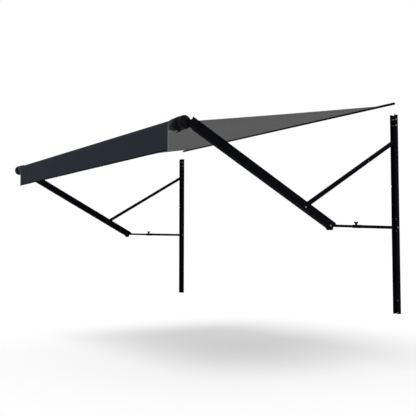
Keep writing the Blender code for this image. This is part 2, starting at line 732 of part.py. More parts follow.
def arm_bolts(label, side, x):
    grip = ARM_WIDTH / 2 + FIT
    inside = ARM_WIDTH / 2 - ARM_WALL
    bolt = through_bolt(f"{label}_brace_pivot_bolt", BRACE_PIVOT, x, grip, PIVOT_RADIUS,
                        PIVOT_HEAD_RADIUS, ZINC, side,
                        (PIVOT_HEAD_RADIUS, BRACE_WIDTH / 2 + FIT, inside - FIT))
    hung_on(bolt, point(x, *FOOT_PIVOT))
    bolt = through_bolt(f"{label}_foot_pivot_bolt", FOOT_PIVOT, x, grip, PIVOT_RADIUS,
                        PIVOT_HEAD_RADIUS, ZINC, side)
    hung_on(bolt, point(x, *FOOT_PIVOT))


def arm_foot(label, x):
    """The casting in the arm's lower end: two cheeks for the link, with a round lug on top."""
    plug_half = ARM_WIDTH / 2 - ARM_WALL - FIT
    plug_floor = ARM_DEPTH - ARM_WALL - FIT
    end = -ARM_BOTTOM_END - FIT
    lug_centre = (-FOOT_REACH - FOOT_LUG_REACH, FOOT_LUG_RADIUS)
    plug = [(end - OVERLAP, RUNNING), (FOOT_PLUG_LENGTH, RUNNING), (FOOT_PLUG_LENGTH, plug_floor),
            (end - OVERLAP, plug_floor)]
    made = side_prism(f"{label}_arm_foot", [on_arm(*p) for p in plug], x - plug_half,
                      x + plug_half, BLACK_PAINT)
    lug = arc(lug_centre, FOOT_LUG_RADIUS, -pi / 2, -3 * pi / 2, END_STEPS)
    underside = ARM_DEPTH + FOOT_DROP
    nose = [(end, 0)] + lug + [
        (-FOOT_REACH + FOOT_THROAT, 2 * FOOT_LUG_RADIUS + FOOT_LUG_NECK),
        (-FOOT_REACH - FOOT_TOE, underside - FOOT_TOE_RISE),
        (-FOOT_REACH + FOOT_HEEL, underside),
        (end, underside),
    ]
    block = side_prism(f"{label}_foot_nose", [on_arm(*p) for p in nose], x - ARM_WIDTH / 2,
                       x + ARM_WIDTH / 2)
    join(made, block)
    slot_floor = ARM_DEPTH - FOOT_WEB
    slot_end = FOOT_PLUG_LENGTH + CUT_PAST
    slot = [(-2 * FOOT_REACH, -CUT_PAST), (slot_end, -CUT_PAST), (slot_end, slot_floor),
            (-2 * FOOT_REACH, slot_floor)]
    slot_cut = side_prism(f"{label}_foot_slot", [on_arm(*p) for p in slot],
                          x - FOOT_SLOT_WIDTH / 2, x + FOOT_SLOT_WIDTH / 2)
    hole = disc(f"{label}_foot_hole", FOOT_PIVOT, PIVOT_RADIUS + FIT, x - ARM_WIDTH,
                x + ARM_WIDTH, None, BOLT_SEGMENTS)
    hung_on(cut(made, slot_cut, hole), point(x, *FOOT_PIVOT))


def span_x(side, near, far):
    """Low and high X of a stretch given by two distances from the awning's middle."""
    ends = (side * near, side * far)
    return min(ends), max(ends)


def arm_head(label, side, x):
    """The casting in the arm's upper end: plug, neck, and the drum that carries the roller."""
    plug_half = ARM_WIDTH / 2 - ARM_WALL - FIT
    plug_floor = ARM_DEPTH - ARM_WALL - FIT
    top = ROLLER_ALONG_ARM - ARM_TOP_GAP
    neck_top, neck_floor = NECK_DEPTH
    cover_face = HALF_SPAN - HEAD_OUTER_FACE
    plug_low, plug_high = top - HEAD_PLUG_LENGTH, top - RUNNING
    plug_top = neck_top + OVERLAP
    plug = [(plug_low, plug_top), (plug_high, plug_top), (plug_high, plug_floor),
            (plug_low, plug_floor)]
    made = side_prism(f"{label}_arm_head", [on_arm(*p) for p in plug], x - plug_half,
                      x + plug_half, BLACK_PAINT)
    neck_low = top - ARM_HEAD_CUTBACK + RUNNING
    neck = [(neck_low, neck_top), (ROLLER_ALONG_ARM, neck_top), (ROLLER_ALONG_ARM, neck_floor),
            (neck_low, neck_floor)]
    neck_block = side_prism(f"{label}_neck", [on_arm(*p) for p in neck],
                            *span_x(side, DRUM_OUTER_FACE - OVERLAP, cover_face))
    clearance = disc(f"{label}_neck_clearance", ROLLER, HEAD_RADIUS + 3 * FIT,
                     *span_x(side, DRUM_OUTER_FACE + NECK_PLATE, cover_face + FIT))
    plate = disc(f"{label}_neck_plate", ROLLER, NECK_PLATE_RADIUS,
                 *span_x(side, DRUM_OUTER_FACE - OVERLAP, DRUM_OUTER_FACE + NECK_PLATE))
    drum = disc(f"{label}_head_drum", ROLLER, HEAD_RADIUS,
                *span_x(side, DRUM_INNER_FACE, DRUM_OUTER_FACE))
    hollow = disc(f"{label}_drum_hollow", ROLLER, HEAD_RADIUS - HEAD_DRUM_WALL,
                  *span_x(side, DRUM_INNER_FACE - CUT_PAST, DRUM_OUTER_FACE - HEAD_DRUM_WALL))
    boss = disc(f"{label}_head_boss", ROLLER, BOSS_RADIUS,
                *span_x(side, DRUM_OUTER_FACE - BOSS_LENGTH, DRUM_OUTER_FACE), None,
                ROUND_SEGMENTS // 2)
    bore = disc(f"{label}_boss_bore", ROLLER, SHAFT_RADIUS + FIT,
                *span_x(side, DRUM_OUTER_FACE - BOSS_LENGTH - CUT_PAST,
                        DRUM_OUTER_FACE - SHAFT_SEAT), None, BOLT_SEGMENTS)
    join(made, neck_block)
    cut(made, clearance)
    join(made, plate, drum)
    cut(made, hollow)
    join(made, boss)
    cut(made, bore)
    if side > 0:
        lever_mount(label, made)
    hung_on(smooth(made), point(x, *FOOT_PIVOT))


def head_cover(label, side, x):
    """The round cover on the outer face of the head, with a softly turned edge."""
    face = HALF_SPAN - HEAD_OUTER_FACE
    edge_middle = (face - COVER_EDGE, HEAD_RADIUS - COVER_EDGE)
    edge = arc(edge_middle, COVER_EDGE, 0, pi / 2, COVER_EDGE_STEPS)
    profile = [(0.0, face)] + [(radius, distance) for distance, radius in edge]
    profile += [(HEAD_RADIUS, face - COVER_THICKNESS), (0.0, face - COVER_THICKNESS)]
    shape = bmesh.new()
    centre = point(0, *ROLLER)
    rings = []
    for radius, distance in profile:
        if radius == 0.0:
            rings.append([shape.verts.new(centre + Vector((side * distance, 0, 0)))])
            continue
        rings.append([
            shape.verts.new(centre + Vector((side * distance, radius * a, radius * b)))
            for a, b in circle((0, 0), 1.0)
        ])
    for first, second in zip(rings, rings[1:]):
        for i in range(ROUND_SEGMENTS):
            j = (i + 1) % ROUND_SEGMENTS
            if len(first) == 1:
                shape.faces.new((first[0], second[i], second[j]))
            elif len(second) == 1:
                shape.faces.new((first[i], second[0], first[j]))
            else:
                shape.faces.new((first[i], second[i], second[j], first[j]))
    bmesh.ops.recalc_face_normals(shape, faces=shape.faces)
    made = bpy.data.meshes.new(f"{label}_head_cover")
    shape.to_mesh(made)
    shape.free()
    cover = new_object(f"{label}_head_cover", made, BLACK_PLASTIC)
    hung_on(smooth(cover, 50), point(x, *FOOT_PIVOT))


def roller_tube():
    reach = CANVAS_WIDTH / 2 + ROLLER_PAST_CANVAS
    tube = disc("roller_tube", ROLLER, ROLLER_RADIUS, -reach, reach, ZINC)
    bore = disc("roller_tube_bore", ROLLER, ROLLER_RADIUS - ROLLER_WALL, -reach - CUT_PAST,
                reach + CUT_PAST)
    grooves = []
    for part, angle in (("canvas", CANVAS_GROOVE_ANGLE), ("valance", VALANCE_GROOVE_ANGLE)):
        corners = [
            (ROLLER_RADIUS - GROOVE_DEPTH, -GROOVE_WIDTH / 2),
            (ROLLER_RADIUS + GROOVE_DEPTH, -GROOVE_WIDTH / 2),
            (ROLLER_RADIUS + GROOVE_DEPTH, GROOVE_WIDTH / 2),
            (ROLLER_RADIUS - GROOVE_DEPTH, GROOVE_WIDTH / 2),
        ]
        outline = [shifted(ROLLER, a, b, pi - angle) for a, b in corners]
        grooves.append(side_prism(f"{part}_groove", outline, -reach - CUT_PAST, reach + CUT_PAST))
    hung_on(smooth(cut(tube, bore, *grooves)), point(0, *ROLLER))


def roller_end(label, side):
    """The turning end cap, its nylon bush, the fixed shaft and the spring that winds the roller."""
    pivot = point(0, *ROLLER)
    bush_radius = SHAFT_RADIUS + RUNNING + BUSH_WALL
    cap_outer = DRUM_INNER_FACE - RUNNING
    plug_end = CAP_INNER_FACE - CAP_PLUG_LENGTH
    cap = disc(f"{label}_roller_end_cap", ROLLER, CAP_RADIUS,
               *span_x(side, CAP_INNER_FACE, cap_outer), BLACK_PLASTIC)
    plug = disc(f"{label}_cap_plug", ROLLER, ROLLER_RADIUS - ROLLER_WALL - FIT,
                *span_x(side, plug_end, CAP_INNER_FACE + OVERLAP))
    bore = disc(f"{label}_cap_bore", ROLLER, bush_radius + FIT,
                *span_x(side, plug_end - CUT_PAST, cap_outer + CUT_PAST), None,
                ROUND_SEGMENTS // 2)
    join(cap, plug)
    hung_on(smooth(cut(cap, bore)), pivot)

    bush_outer = cap_outer - BUSH_SETBACK
    bush = disc(f"{label}_roller_bush", ROLLER, bush_radius,
                *span_x(side, bush_outer - BUSH_LENGTH, bush_outer), NYLON, ROUND_SEGMENTS // 2)
    shaft_hole = disc(f"{label}_bush_bore", ROLLER, SHAFT_RADIUS + RUNNING,
                      *span_x(side, bush_outer - BUSH_LENGTH - CUT_PAST, bush_outer + CUT_PAST),
                      None, BOLT_SEGMENTS)
    hung_on(smooth(cut(bush, shaft_hole)), pivot)

    spring_start = plug_end - 2 * FIT
    plate_far = spring_start - SPRING_LENGTH - FIT
    shaft_outer = DRUM_OUTER_FACE - SHAFT_SEAT - FIT
    shaft = disc(f"{label}_roller_shaft", ROLLER, SHAFT_RADIUS,
                 *span_x(side, plate_far - SPRING_PLATE_THICKNESS, shaft_outer), ZINC,
                 BOLT_SEGMENTS)
    plate = disc(f"{label}_spring_plate", ROLLER, SPRING_PLATE_RADIUS,
                 *span_x(side, plate_far - SPRING_PLATE_THICKNESS, plate_far), None,
                 ROUND_SEGMENTS // 2)
    hung_on(smooth(join(shaft, plate)), point(side * HALF_SPAN, *FOOT_PIVOT))
    torsion_spring(label, side, spring_start, pivot)


def torsion_spring(label, side, start, pivot):
    """A coil of round wire about the shaft, between the cap's plug and the shaft's plate."""
    steps = SPRING_TURNS * SPRING_STEPS_PER_TURN
    travel = SPRING_LENGTH - 2 * SPRING_WIRE
    shape = bmesh.new()
    centre = point(0, *ROLLER)
    rings = []
    for i in range(steps + 1):
        angle = 2 * pi * i / SPRING_STEPS_PER_TURN
        distance = start - SPRING_WIRE - travel * i / steps
        radial = Vector((0, cos(angle), sin(angle)))
        middle = centre + Vector((side * distance, 0, 0)) + radial * SPRING_RADIUS
        rings.append([
            shape.verts.new(middle + radial * (SPRING_WIRE * cos(2 * pi * k / SPRING_SIDES))
                            + Vector((SPRING_WIRE * sin(2 * pi * k / SPRING_SIDES), 0, 0)))
            for k in range(SPRING_SIDES)
        ])
    for first, second in zip(rings, rings[1:]):
        for k in range(SPRING_SIDES):
            m = (k + 1) % SPRING_SIDES
            shape.faces.new((first[k], first[m], second[m], second[k]))
    shape.faces.new(rings[0])
    shape.faces.new(rings[-1][::-1])
    bmesh.ops.recalc_face_normals(shape, faces=shape.faces)
    made = bpy.data.meshes.new(f"{label}_torsion_spring")
    shape.to_mesh(made)
    shape.free()
    hung_on(new_object(f"{label}_torsion_spring", made, SPRING_STEEL), pivot)


def lever_place():
    """X of the lock lever's pin, and its (out, height), under the right head's drum."""
    return DRUM_INNER_FACE + LEVER_WIDTH, (ROLLER[0], ROLLER[1] - HEAD_RADIUS - LEVER_THICKNESS)


def lever_mount(label, head):
    """Two ears under the drum and their pin, which runs square to the wall."""
    pin_x, centre = lever_place()
    half = LEVER_WIDTH / 2 + RUNNING
    height = centre[1]
    size = LEVER_THICKNESS
    drum_bottom = ROLLER[1] - HEAD_RADIUS
    pieces = []
    for sign in (-1, 1):
        near = centre[0] + sign * half
        far = near + sign * LEVER_EAR
        pieces.append(side_prism(
            f"{label}_lever_ear_{sign}",
            [(near, height - size / 2), (far, height - size / 2),
             (far, drum_bottom + HEAD_DRUM_WALL / 2), (near, drum_bottom + HEAD_DRUM_WALL / 2)],
            pin_x - size / 2,
            pin_x + size / 2,
        ))
    pin = upright_disc(f"{label}_lever_pin", pin_x, height, LEVER_PIN_RADIUS,
                       centre[0] - half - LEVER_EAR / 2, centre[0] + half + LEVER_EAR / 2)
    join(head, *pieces, pin)


def lock_lever():
    """The small rocking lever that locks the roller, under the right head."""
    pin_x, centre = lever_place()
    half = LEVER_THICKNESS / 2
    low = centre[0] - LEVER_WIDTH / 2
    lever = prism(
        "roller_lock_lever",
        [
            (-LEVER_HEEL, -half),
            (LEVER_NOSE, -half),
            (LEVER_NOSE, half),
            (-LEVER_HEEL, half),
            (-LEVER_LENGTH, -LEVER_TIP_DROP),
            (-LEVER_LENGTH, -LEVER_TIP_DROP - LEVER_TIP_THICKNESS),
        ],
        point(pin_x, low + LEVER_WIDTH, centre[1]),
        (1, 0, 0),
        (0, 0, 1),
        -LEVER_WIDTH,
        BLACK_PLASTIC,
    )
    hole = upright_disc("lever_hole", pin_x, centre[1], LEVER_PIN_RADIUS + FIT,
                        low - CUT_PAST, low + LEVER_WIDTH + CUT_PAST)
    hung_on(cut(lever, hole), point(pin_x, *centre))


def ribbon(path, thickness):
    """Outline of a strip of even thickness about a path of (out, height) points."""
    half = thickness / 2
    one, other = [], []
    for i, place in enumerate(path):
        before = path[max(i - 1, 0)]
        after = path[min(i + 1, len(path) - 1)]
        first = Vector((place[0] - before[0], place[1] - before[1]))
        second = Vector((after[0] - place[0], after[1] - place[1]))
        if i == 0:
            first = second
        if i == len(path) - 1:
            second = first
        first.normalize()
        second.normalize()
        across = Vector((-first[1] - second[1], first[0] + second[0])).normalized()
        stretch = half / across.dot(Vector((-first[1], first[0])))
        one.append((place[0] + across[0] * stretch, place[1] + across[1] * stretch))
        other.append((place[0] - across[0] * stretch, place[1] - across[1] * stretch))
    return one + other[::-1]


def canvas():
    """The sheet, straight from the bead in the rail to its groove in the roller."""
    middle = ROLLER_RADIUS + FIT + CANVAS_THICKNESS / 2
    slot_height = RAIL_ABOVE_CHANNELS + RAIL_SLOT_RISE
    corner_gap = CANVAS_BEAD_RADIUS + FIT
    bead_depth = sqrt(corner_gap**2 - (RAIL_SLOT_WIDTH / 2) ** 2)
    bead = (RAIL_DEPTH - RAIL_WALL - bead_depth, slot_height)
    lip = (RAIL_DEPTH + CANVAS_LIP, slot_height)
    groove_angle = pi - CANVAS_GROOVE_ANGLE
    mouth = shifted(ROLLER, middle, 0, groove_angle)
    groove = shifted(ROLLER, GROOVE_SEAT, 0, groove_angle)
    reach = CANVAS_WIDTH / 2
    path = [(bead[0] + CANVAS_BEAD_RADIUS / 2, bead[1]), lip, mouth, groove]
    sheet = side_prism("canvas", ribbon(path, CANVAS_THICKNESS), -reach, reach, GREY_CLOTH)
    join(sheet, disc("canvas_bead", bead, CANVAS_BEAD_RADIUS, -reach, reach, None, BOLT_SEGMENTS))
    hung_on(smooth(sheet), point(0, *lip))


def valance():
    """The strip from its groove over the roller's top and front, down to a thick hem."""
    middle = ROLLER_RADIUS + FIT + VALANCE_THICKNESS / 2
    groove_angle = pi - VALANCE_GROOVE_ANGLE
    groove = shifted(ROLLER, GROOVE_SEAT, 0, groove_angle)
    plane = ROLLER[0] + middle
    hem = ROLLER[1] - VALANCE_DROP
    reach = CANVAS_WIDTH / 2
    path = [groove, *arc(ROLLER, middle, groove_angle, 0, VALANCE_STEPS),
            (plane, hem + HEM_HEIGHT / 2)]
    strip = side_prism("valance", ribbon(path, VALANCE_THICKNESS), -reach, reach, NAVY_CLOTH)
    half = HEM_THICKNESS / 2
    fold = side_prism(
        "valance_hem",
        [(plane - half, hem), (plane + half, hem),
         (plane + half, hem + HEM_HEIGHT - HEM_TAPER),
         (plane + VALANCE_THICKNESS / 2, hem + HEM_HEIGHT),
         (plane - VALANCE_THICKNESS / 2, hem + HEM_HEIGHT),
         (plane - half, hem + HEM_HEIGHT - HEM_TAPER)],
        -reach,
        reach,
    )
    hung_on(smooth(join(strip, fold)), point(0, *ROLLER))


def build():
    clear_scene()
    awning_rail()
    for label, side in SIDES:
        x = side * HALF_SPAN
        wall_channel(label, x)
        wall_screws(label, x)
        channel_fittings(label, side, x)
        telescoping_link(label, side, x)
        brace(label, side, x)
        arm(label, side, x)
        arm_bolts(label, side, x)
        arm_foot(label, x)
        arm_head(label, side, x)
        head_cover(label, side, x)
        roller_end(label, side)
    roller_tube()
    lock_lever()
    canvas()
    valance()


build()
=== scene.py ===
"""Looks of the roll-out canvas awning: its finishes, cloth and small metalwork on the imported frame.

Metres, +Z up. The wall is the plane Y = 0 and the awning stands out towards -Y.
"""

import json
from math import cos, hypot, pi, radians, sin, sqrt

import bmesh
import bpy
from mathutils import Euler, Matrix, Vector


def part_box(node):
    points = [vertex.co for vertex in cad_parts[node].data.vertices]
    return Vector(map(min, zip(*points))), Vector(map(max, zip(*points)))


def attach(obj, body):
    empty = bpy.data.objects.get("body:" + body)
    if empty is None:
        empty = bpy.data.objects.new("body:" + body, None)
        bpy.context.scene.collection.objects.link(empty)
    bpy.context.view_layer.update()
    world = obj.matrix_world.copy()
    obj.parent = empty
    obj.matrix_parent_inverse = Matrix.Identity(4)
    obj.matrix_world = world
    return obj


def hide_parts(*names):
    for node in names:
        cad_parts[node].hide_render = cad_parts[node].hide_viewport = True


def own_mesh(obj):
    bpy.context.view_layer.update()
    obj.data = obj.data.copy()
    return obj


# Camera, at the photograph's viewing angle
CAMERA_PLACE = (5.9284, -4.8558, -1.3457)
CAMERA_TURN = (93.594, -0.056, 55.843)      # degrees about X, Y and Z
CAMERA_LENS = 58.396                        # millimetres
CAMERA_SENSOR = 36.0                        # millimetres

# Studio
FLOOR_HEIGHT = -2.45
FLOOR_SIZE = 240.0
FLOOR_COLOUR = 0.88
FLOOR_GLOW = 0.18                           # only what the camera and reflections see
SKY_LIGHT = 0.55
KEY_LIGHT = 1.45
KEY_TURN = (38.0, 8.0, 22.0)                # degrees
FILL_LIGHT = 0.55
FILL_TURN = (68.0, 0.0, -48.0)              # degrees
SOFT_LIGHT = 35.0                           # degrees across, as a large softbox is

# Noise, as its scale per metre and its detail
PATCH_NOISE = (9.0, 4.0)                    # patches of two near tones
SMEAR_NOISE = (38.0, 5.0)                   # uneven gloss
HEATHER_NOISE = (420.0, 2.0)                # single yarns
CLOUD_NOISE = (2.2, 3.0)                    # slow changes of tone over a cloth
GRAIN_DETAIL = 2.0
NOISE_LOW = 0.3                             # the part of a noise's range that is spread out
NOISE_HIGH = 0.7
EVEN = (1.0, 1.0, 1.0)
HEATHER_STRETCH = (1.0, 0.35, 0.35)

# Hard finishes
GLOSS_BELOW = 0.06                          # how far the roughness goes to each side
GLOSS_ABOVE = 0.08
BLACK_TONES = ((0.0028, 0.0030, 0.0048), (0.0045, 0.0048, 0.0070))
PLASTIC_TONES = ((0.0030, 0.0032, 0.0046), (0.0048, 0.0051, 0.0070))
FASTENER_TONES = ((0.13, 0.13, 0.135), (0.26, 0.26, 0.265))
ROLLER_TONES = ((0.045, 0.046, 0.048), (0.085, 0.086, 0.088))
SPRING_TONES = ((0.12, 0.12, 0.13), (0.26, 0.26, 0.27))
NYLON_TONES = ((0.62, 0.61, 0.57), (0.74, 0.73, 0.69))

# Slot: dark and light tone, roughness, and what else differs
HARD_FINISHES = {
    "black_aluminium": (BLACK_TONES, 0.50, {"specular": 0.006}),
    "black_steel": (BLACK_TONES, 0.52, {"specular": 0.006}),
    "black_plastic": (PLASTIC_TONES, 0.40, {"specular": 0.045, "grain": 1400.0, "depth": 0.00005}),
    "fastener_steel": (FASTENER_TONES, 0.40, {"metallic": 1.0, "grain": 1100.0}),
    "roller_metal": (ROLLER_TONES, 0.38,
                     {"metallic": 1.0, "grain": 260.0, "stretch": (0.06, 1.0, 1.0)}),
    "spring_steel": (SPRING_TONES, 0.38, {"metallic": 1.0, "grain": 900.0}),
    "pale_nylon": (NYLON_TONES, 0.5, {"grain": 800.0}),
}

# Slot: dark tone, light tone and thread
CLOTH_FINISHES = {
    "grey_canvas": ((0.099, 0.099, 0.101), (0.148, 0.148, 0.151), (0.19, 0.19, 0.19)),
    "navy_valance": ((0.0103, 0.0135, 0.0186), (0.0181, 0.0230, 0.0314), (0.04, 0.05, 0.065)),
}
CLOTH_ROUGHNESS = 0.88
CLOTH_SPECULAR = 0.05
HEATHER_LOW = 0.15                          # share of the light tone, yarn by yarn
HEATHER_HIGH = 0.85
CLOUD_DEPTH = 0.12
THREAD_PITCH = 0.0016
WEAVE_RELIEF = 0.5                          # shares of the cloth's relief
STITCH_RELIEF = 3.0
CLOTH_RELIEF = 0.00012
STITCH_LENGTH = 0.0042
STITCH_WIDTH = 0.0008
STITCH_START = -0.35                        # a stitch shows where its sine is above this
STITCH_INSET = 0.020                        # stitch rows in from the side edges
EDGE_STITCH_INSET = 0.005
HEM_STITCH_RISE = 0.002                     # stitch row above the valance's hem
HEM_SHADE = 0.22                            # hem's colour against the cloth's
# painted highlight: a pale band of colour down the valance's side edges stands in for light catching
# them
EDGE_HIGHLIGHT_WIDTH = 0.006                          # width of the painted highlight down the valance's side edges
EDGE_HIGHLIGHT_COLOUR = (0.165, 0.167, 0.175)

# Cloth
CLOTH_THICKNESS = 0.0008
CLOTH_COLUMNS = 96                          # steps across, between the side hems
SIDE_HEM = 0.025
SIDE_HEM_EXTRA = 0.0007
SIDE_HEM_STEP = 0.001                       # where the thickness changes
GROOVE_DEPTH = 0.0022
GROOVE_FILL = 0.8                           # share of the groove that a cloth's end takes
ARC_STEPS = 12

# Canvas
CANVAS_STEPS = 48                           # steps along the free span
CANVAS_BEAD_RADIUS = 0.0034
CANVAS_BEAD_SETBACK = 0.0024                # bead's middle behind the rail's front wall
CANVAS_BEAD_SEGMENTS = 20
CANVAS_END_SETBACK = 0.0040
CANVAS_LIP = 0.001                          # level run in front of the rail
SLOT_RISE = 0.004                           # slot's middle above the rail's middle
RAIL_WALL = 0.0015
CANVAS_GROOVE_ANGLE = radians(42.8)         # up and over, from the wall's side
CANVAS_SAG = 0.003
CANVAS_RIPPLE = 0.0007
CANVAS_RIPPLE_TURN = 2.2                    # half waves from the rail to the roller
CANVAS_RIPPLE_START = 0.5

# Valance
VALANCE_STEPS = 22                          # steps down to the hem
VALANCE_GROOVE_ANGLE = radians(56)
VALANCE_LIFT = 0.0009                       # cloth's middle above the roller
VALANCE_WAVE = 0.0014
WAVE_GROWTH = 1.5                           # power by which the wave grows downwards
WAVE_FADE = 0.20                            # stretch over which the wave dies out at each side
HEM_STEPS = 6
HEM_THICKNESS = 0.0042
HEM_HEIGHT = 0.014
HEM_ABOVE = 0.003                           # cloth's last row above the hem's top
HEM_BELOW = 0.002                           # hem's first full row below its top
HEM_CLOSE = 0.35                            # steps by which the hem's bulge runs past its rows

# Waves across a cloth: height, radians per metre and start
CANVAS_WAVES = ((1.0, 7.3, 0.7), (0.6, 3.1, -1.4))
VALANCE_WAVES = ((1.0, 6.1, 0.4), (0.5, 14.7, 1.9), (0.3, 2.3, 0.0))

# Edges of the hard parts
MERGE_DISTANCE = 0.000001
FLAT_ANGLE = 0.6                            # degrees, below which two facets are one face
SHARP_ANGLE = 32.0                          # degrees, above which an edge stays sharp
BROKEN_SHARP_ANGLE = 40.0
SHORTEST_BROKEN_EDGE = 0.0030
BROKEN_STEPS = 2

# Bolts; a share is of the flange's radius, unless it says otherwise
SHANK_RADIUS = {"top": 0.004, "link_pivot": 0.005, "foot_pivot": 0.005, "brace_pivot": 0.005,
                "brace": 0.003}
SHANK_SEGMENTS = 24
HEAD_HEIGHT = 0.0045
HEAD_SHARE = 0.84                           # hexagon's corners
HEXAGON_TOP_SEGMENTS = 24
CHAMFER = 0.0006
FLANGE_HEIGHT = 0.0011
FLANGE_BREAK = 0.0002
FLANGE_FOOT_SHARE = 0.96
FLANGE_TOP_SHARE = 0.9
FLANGE_WALL_SHARE = 0.6                     # of the flange's height
CROWN_SHARE = 0.72                          # nut's collar, of the hexagon's corners
CROWN_TOP_SHARE = 0.9                       # of the collar's radius
SPACERS = {"link_pivot": (0.0133, 0.0196), "brace_pivot": (0.0183, 0.0239)}
SPACER_RADIUS = 0.0085

# Wall screws
WALL_SCREWS = 4                             # on each side
SCREW_HEAD_THICKNESS = 0.0028
SCREW_HEAD_SEGMENTS = 24
SCREW_WALL_SHARE = 0.35                     # of the head's thickness
SCREW_TOP_SHARE = 0.62                      # of the head's radius
SCREW_DOME = (25, 50, 70, 90)               # degrees
SCREW_SHANK_RADIUS = 0.0028
SCREW_SHANK_SEGMENTS = 20
SCREW_RECESS_LENGTH = 0.0064
SCREW_RECESS_WIDTH = 0.0014
SCREW_RECESS_DEPTH = 0.0016
SCREW_RECESS_FLOOR = 0.55                   # floor's size against the rim's

# Rivets on the channels
RIVET_RADIUS = 0.0042
RIVET_HEIGHT = 0.0016
RIVET_DOME = (0, 25, 50, 75)                # degrees
RIVET_SEGMENTS = 24
RIVET_SETBACK = 0.0048                      # behind the channel's front edge
LOW_RIVET_HEIGHTS = (0.014, 0.122)          # above the channel's lower end
LINK_RIVET_RISES = (-0.033, 0.077)          # above the link's pivot

# Torsion springs
SPRING_WIRE = 0.0022                        # wire's radius
SPRING_TURNS = 13
SPRING_STEPS = 32
SPRING_SIDES = 10

SIDES = (("left", -1), ("right", 1))

# Bolt, kind and body
BOLTS = (
    ("top_bolt_1", "top", "wall_frame"),
    ("top_bolt_2", "top", "wall_frame"),
    ("link_pivot_bolt", "link_pivot", "wall_frame"),
    ("brace_pivot_bolt", "brace_pivot", "{}_arm_group"),
    ("foot_pivot_bolt", "foot_pivot", "{}_arm_group"),
    ("brace_bolt", "brace", "{}_brace_group"),
)

# Part on each side, body, slot, and the width of its broken edges
SIDE_PARTS = (
    ("wall_channel", "wall_frame", "black_aluminium", 0.0006),
    ("top_bracket", "wall_frame", "black_steel", 0.0004),
    ("link_bracket", "wall_frame", "black_steel", 0.0004),
    ("glide_stop", "wall_frame", "black_aluminium", 0.0008),
    ("link_outer_tube", "{}_link", "black_aluminium", 0.0009),
    ("link_inner_tube", "{}_link_end", "black_aluminium", 0.0009),
    ("pitch_knob", "{}_knob", "black_plastic", 0.0012),
    ("brace", "{}_brace_group", "black_aluminium", 0.0009),
    ("brace_glide", "{}_brace_group", "black_plastic", 0.0008),
    ("arm", "{}_arm_group", "black_aluminium", 0.0007),
    ("arm_foot", "{}_arm_group", "black_aluminium", 0.0012),
    ("arm_head", "{}_arm_group", "black_aluminium", 0.0010),
    ("head_cover", "{}_arm_group", "black_plastic", 0.0006),
    ("roller_end_cap", "roller", "black_plastic", 0.0010),
)

# Single part, body, slot, and the width of its broken edges
SINGLE_PARTS = (
    ("awning_rail", "wall_frame", "black_aluminium", 0.0005),
    ("roller_lock_lever", "lock_lever", "black_plastic", 0.0005),
)

# Sockets of a colour mix, which share their names with its other kinds' sockets
MIX_FACTOR, MIX_FIRST, MIX_SECOND = 0, 6, 7
MIX_RESULT = 2


def add_node(tree, kind, inputs=(), **settings):
    """A node with its settings. Each input is a value or another node's output."""
    node = tree.nodes.new(kind)
    for key, value in settings.items():
        setattr(node, key, value)
    for key, value in dict(inputs).items():
        if isinstance(value, bpy.types.NodeSocket):
            tree.links.new(value, node.inputs[key])
        else:
            node.inputs[key].default_value = value
    return node


class Finish:
    """One procedural material: its shader, and short ways to add the nodes that feed it."""

    def __init__(self, name, roughness, metallic, specular):
        self.material = bpy.data.materials.new(name)
        self.material.use_nodes = True
        self.tree = self.material.node_tree
        self.shader = self.tree.nodes["Principled BSDF"]
        self.shader.inputs["Roughness"].default_value = roughness
        self.shader.inputs["Metallic"].default_value = metallic
        self.shader.inputs["Specular IOR Level"].default_value = specular
        self.place = self.add("ShaderNodeTexCoord").outputs["Object"]

    def add(self, kind, inputs=(), **settings):
        return add_node(self.tree, kind, inputs, **settings)

    def feed(self, socket, source):
        self.tree.links.new(source, self.shader.inputs[socket])

    def maths(self, operation, first, second=0.0):
        return self.add("ShaderNodeMath", {0: first, 1: second}, operation=operation).outputs[0]

    def noise(self, scale, detail, stretch=EVEN):
        moved = self.add("ShaderNodeMapping", {"Vector": self.place, "Scale": stretch})
        made = self.add("ShaderNodeTexNoise",
                        {"Vector": moved.outputs[0], "Scale": scale, "Detail": detail})
        return made.outputs["Fac"]

    def spread(self, noise, low, high):
        """A noise's middle range, spread from low to high."""
        made = self.add("ShaderNodeMapRange",
                        {"Value": noise, "From Min": NOISE_LOW, "From Max": NOISE_HIGH,
                         "To Min": low, "To Max": high})
        return made.outputs["Result"]

    def mixed(self, factor, *colours):
        """A mix of two colours, each a triple or another node's output."""
        first, second = [colour if isinstance(colour, bpy.types.NodeSocket) else (*colour, 1.0)
                         for colour in colours]
        made = self.add("ShaderNodeMix",
                        {MIX_FACTOR: factor, MIX_FIRST: first, MIX_SECOND: second},
                        data_type="RGBA")
        return made.outputs[MIX_RESULT]

    def bump(self, height, distance):
        made = self.add("ShaderNodeBump", {"Height": height, "Distance": distance, "Strength": 1.0})
        self.feed("Normal", made.outputs[0])


def hard_finish(name, dark, light, roughness, metallic=0.0, specular=0.5, grain=700.0,
                depth=0.00003, stretch=EVEN):
    """Painted, moulded or bare metal: patches of two near tones, uneven gloss and a fine grain."""
    made = Finish(name, roughness, metallic, specular)
    patches = made.spread(made.noise(*PATCH_NOISE, stretch), 0.0, 1.0)
    made.feed("Base Color", made.mixed(patches, dark, light))
    smears = made.noise(*SMEAR_NOISE, stretch)
    made.feed("Roughness", made.spread(smears, roughness - GLOSS_BELOW, roughness + GLOSS_ABOVE))
    made.bump(made.noise(grain, GRAIN_DETAIL, stretch), depth)
    return made.material


